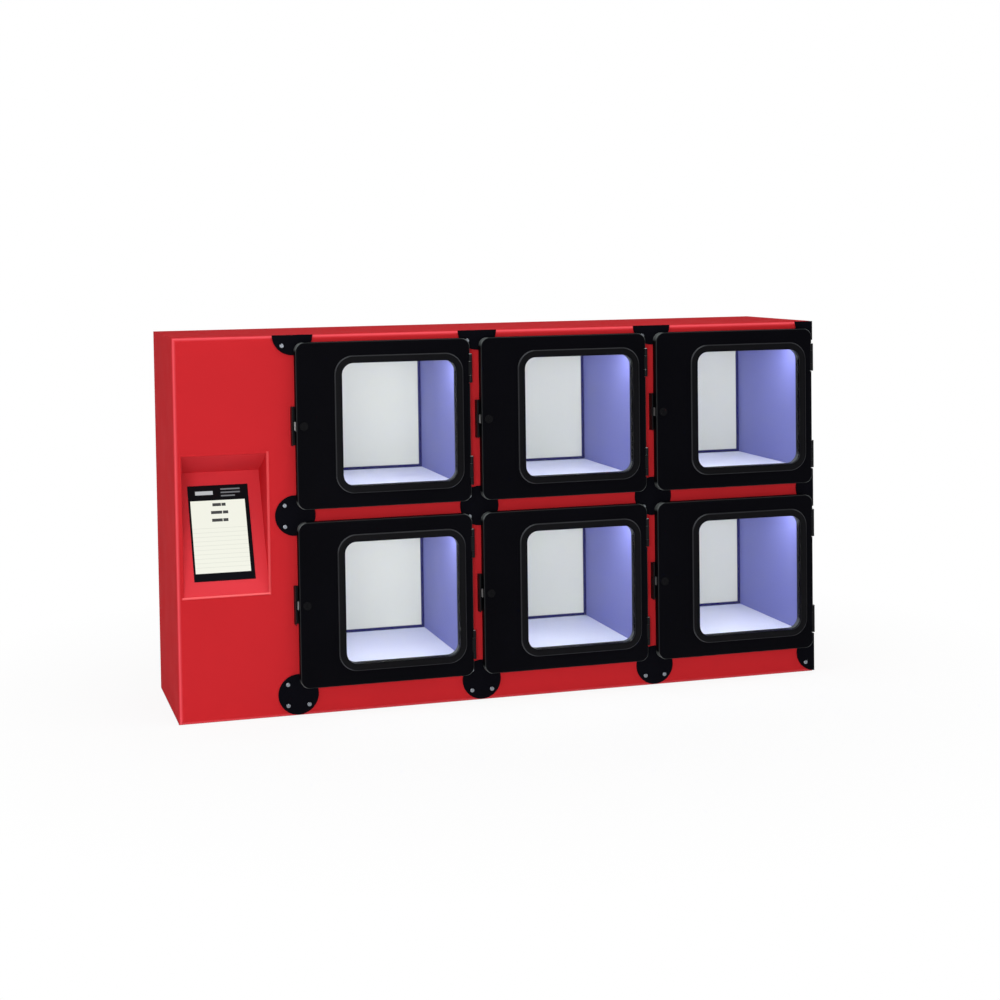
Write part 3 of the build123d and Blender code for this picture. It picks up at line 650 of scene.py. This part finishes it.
def pocket_lip():
    """The rolled edge of the screen bay's opening: a round bead, partly sunk, with mitred corners."""
    pocket_low, pocket_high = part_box("kiosk_pocket")
    x0, x1 = pocket_low.x + POCKET_WALL, pocket_high.x - POCKET_WALL
    z0, z1 = pocket_low.z + POCKET_WALL, pocket_high.z - POCKET_WALL
    centre_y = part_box("front_fascia")[0].y + LIP_SETBACK
    bm = bmesh.new()
    rings = []
    for x, z, side_x, side_z in ((x0, z0, -1, -1), (x1, z0, 1, -1), (x1, z1, 1, 1), (x0, z1, -1, 1)):
        ring = []
        for i in range(LIP_STEPS):
            angle = 2 * math.pi * i / LIP_STEPS
            out, forward = LIP_RADIUS * math.cos(angle), LIP_RADIUS * math.sin(angle)
            ring.append(bm.verts.new((x + side_x * out, centre_y - forward, z + side_z * out)))
        rings.append(ring)
    for ring, following in zip(rings, rings[1:] + rings[:1]):
        for i in range(LIP_STEPS):
            j = (i + 1) % LIP_STEPS
            bm.faces.new((ring[i], ring[j], following[j], following[i]))
    lip_red = lip_paint("red_powder_coat_lip", z0 + LIP_RADIUS, x1 - LIP_RADIUS)
    new_object("pocket_lip", finish_mesh(bm, "pocket_lip", LIP_SMOOTH_ANGLE), lip_red, "cabinet")


pocket_lip()

DOOR_NUMBERS = range(1, 7)
# two screws in each hinge foot and two in each keeper foot, which stand this far out of the fascia
HINGE_FOOT, KEEPER_FOOT = 0.003, 0.0025
HINGE_SCREW_FROM_RIGHT, HINGE_FROM_END = 0.0045, 0.070
HINGE_SCREW_OFFSET, HINGE_SCREW_SCALE = 0.022, 0.62
KEEPER_SCREW_FROM_LEFT, KEEPER_SCREW_OFFSET, KEEPER_SCREW_SCALE = 0.0085, 0.032, 0.8

face_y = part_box("front_fascia")[0].y
for number in DOOR_NUMBERS:
    frame_low, frame_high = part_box(f"door_frame_{number}")
    hinge_x = frame_high.x - HINGE_SCREW_FROM_RIGHT
    hinge_zs = (frame_low.z + HINGE_FROM_END, frame_high.z - HINGE_FROM_END)
    places = [(hinge_x, face_y - HINGE_FOOT, z + side * HINGE_SCREW_OFFSET)
              for z in hinge_zs for side in (-1, 1)]
    screws(f"hinge_screws_{number}", places, TO_FRONT, HINGE_SCREW_SCALE)
    keeper_x = frame_low.x + KEEPER_SCREW_FROM_LEFT
    middle = (frame_low.z + frame_high.z) / 2
    places = [(keeper_x, face_y - KEEPER_FOOT, middle + side * KEEPER_SCREW_OFFSET) for side in (-1, 1)]
    screws(f"keeper_screws_{number}", places, TO_FRONT, KEEPER_SCREW_SCALE)

# Floor and light

FLOOR_HALF, FLOOR_DROP, FLOOR_GREY = 40.0, 0.0005, 0.86
# a soft contact shade up to this distance from the middle, and plain white from the second one on
SHADE_END, WHITE_START, SHADE_WHITE = 0.7, 1.5, 0.9


def make_floor():
    data = bpy.data.meshes.new("floor")
    corners = [(-1, -1), (1, -1), (1, 1), (-1, 1)]
    data.from_pydata([(x * FLOOR_HALF, y * FLOOR_HALF, 0) for x, y in corners], [], [(0, 1, 2, 3)])
    floor = bpy.data.objects.new("floor", data)
    floor.location.z = cad_box[0].z - FLOOR_DROP
    bpy.context.scene.collection.objects.link(floor)
    m = Nodes("floor_white")
    m.set(Base_Color=rgba([FLOOR_GREY] * 3), Roughness=0.9, Specular_IOR_Level=0.0)
    path = m.add("ShaderNodeLightPath")
    seen = m.math("MAXIMUM", path.outputs["Is Camera Ray"], path.outputs["Is Glossy Ray"])
    seen = m.math("MAXIMUM", seen, path.outputs["Is Transmission Ray"])
    distance = m.add("ShaderNodeVectorMath", operation="LENGTH")
    m.link(m.place, distance.inputs[0])
    fade = m.map_range(distance.outputs["Value"], SHADE_END, WHITE_START, SHADE_WHITE, 1.0)
    white = m.add("ShaderNodeEmission")
    white.inputs["Strength"].default_value = 1.0
    m.mix_surfaces(m.math("MULTIPLY", seen, fade), m.shader.outputs["BSDF"], white.outputs["Emission"])
    floor.data.materials.append(m.material)


AMBIENT = 0.42
# what reflections see, from in front of the object to behind it
GLOSSY_RAMP = (("From Min", -0.6), ("From Max", 0.5), ("To Min", 0.12), ("To Max", 0.5))


def make_world():
    """White where it is seen; an even, weaker white as a light."""
    world = bpy.data.worlds.new("studio")
    bpy.context.scene.world = world
    world.use_nodes = True
    tree = world.node_tree
    background = tree.nodes["Background"]
    path = tree.nodes.new("ShaderNodeLightPath")
    seen = tree.nodes.new("ShaderNodeMath")
    seen.operation = "MAXIMUM"
    tree.links.new(path.outputs["Is Camera Ray"], seen.inputs[0])
    tree.links.new(path.outputs["Is Transmission Ray"], seen.inputs[1])
    place = tree.nodes.new("ShaderNodeTexCoord")
    split = tree.nodes.new("ShaderNodeSeparateXYZ")
    tree.links.new(place.outputs["Generated"], split.inputs[0])
    ramp = tree.nodes.new("ShaderNodeMapRange")
    ramp.interpolation_type = "SMOOTHSTEP"
    for key, value in GLOSSY_RAMP:
        ramp.inputs[key].default_value = value
    tree.links.new(split.outputs["Y"], ramp.inputs["Value"])
    # the two values of a FLOAT mix are its inputs 2 and 3
    glossy = tree.nodes.new("ShaderNodeMix")
    glossy.data_type = "FLOAT"
    tree.links.new(path.outputs["Is Glossy Ray"], glossy.inputs[0])
    glossy.inputs[2].default_value = AMBIENT
    tree.links.new(ramp.outputs["Result"], glossy.inputs[3])
    strength = tree.nodes.new("ShaderNodeMix")
    strength.data_type = "FLOAT"
    tree.links.new(seen.outputs[0], strength.inputs[0])
    tree.links.new(glossy.outputs[0], strength.inputs[2])
    strength.inputs[3].default_value = 1.0
    tree.links.new(strength.outputs[0], background.inputs["Strength"])
    background.inputs["Color"].default_value = (1.0, 1.0, 1.0, 1.0)


def area_light(name, place, target, size, watts, colour=(1.0, 1.0, 1.0)):
    data = bpy.data.lights.new(name, "AREA")
    data.shape = "RECTANGLE"
    data.size, data.size_y = size
    data.energy = watts
    data.color = colour
    light = bpy.data.objects.new(name, data)
    light.location = place
    light.rotation_euler = (Vector(target) - Vector(place)).to_track_quat("-Z", "Y").to_euler()
    bpy.context.scene.collection.objects.link(light)


make_floor()
make_world()

# name, place, target, size and watts
STUDIO_LIGHTS = (
    ("key", (-1.7, -4.5, 0.95), (0, 0, 0.4), (1.8, 0.9), 74.0),
    ("low_fill", (-0.8, -3.4, 0.35), (-0.3, 0, 0.4), (2.0, 0.5), 6.0),
    ("overhead", (0.0, -0.9, 3.2), (0, 0, 0.4), (2.6, 1.2), 38.0),
    ("left", (-4.0, -0.7, 0.8), (-0.775, 0, 0.4), (1.5, 1.5), 20.0),
    ("right", (4.0, -0.7, 0.8), (0.775, 0, 0.4), (1.5, 1.5), 20.0),
    ("rear", (1.2, 4.2, 0.4), (0, 0.2, 0.4), (2.5, 0.8), 62.0),
)
for light in STUDIO_LIGHTS:
    area_light(*light)

# one lamp in each compartment, under the lens at the front of its ceiling
CEILING_BELOW_DOOR_TOP, WALL_FROM_DOOR_LEFT, WALL_FROM_DOOR_RIGHT = 0.024, 0.030, 0.020
LAMP_Y, LAMP_DROP = -0.150, 0.012
LAMP_TARGET_Y, LAMP_TARGET_DROP = 0.05, 0.30
LAMP_SIZE, LAMP_WATTS, LAMP_COLOUR = (0.30, 0.012), 0.82, (1.0, 0.985, 0.95)

for number in DOOR_NUMBERS:
    frame_low, frame_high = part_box(f"door_frame_{number}")
    middle = (frame_low.x + WALL_FROM_DOOR_LEFT + frame_high.x - WALL_FROM_DOOR_RIGHT) / 2
    ceiling_z = frame_high.z - CEILING_BELOW_DOOR_TOP
    area_light(f"compartment_light_{number}", (middle, LAMP_Y, ceiling_z - LAMP_DROP),
               (middle, LAMP_TARGET_Y, ceiling_z - LAMP_TARGET_DROP), LAMP_SIZE, LAMP_WATTS, LAMP_COLOUR)
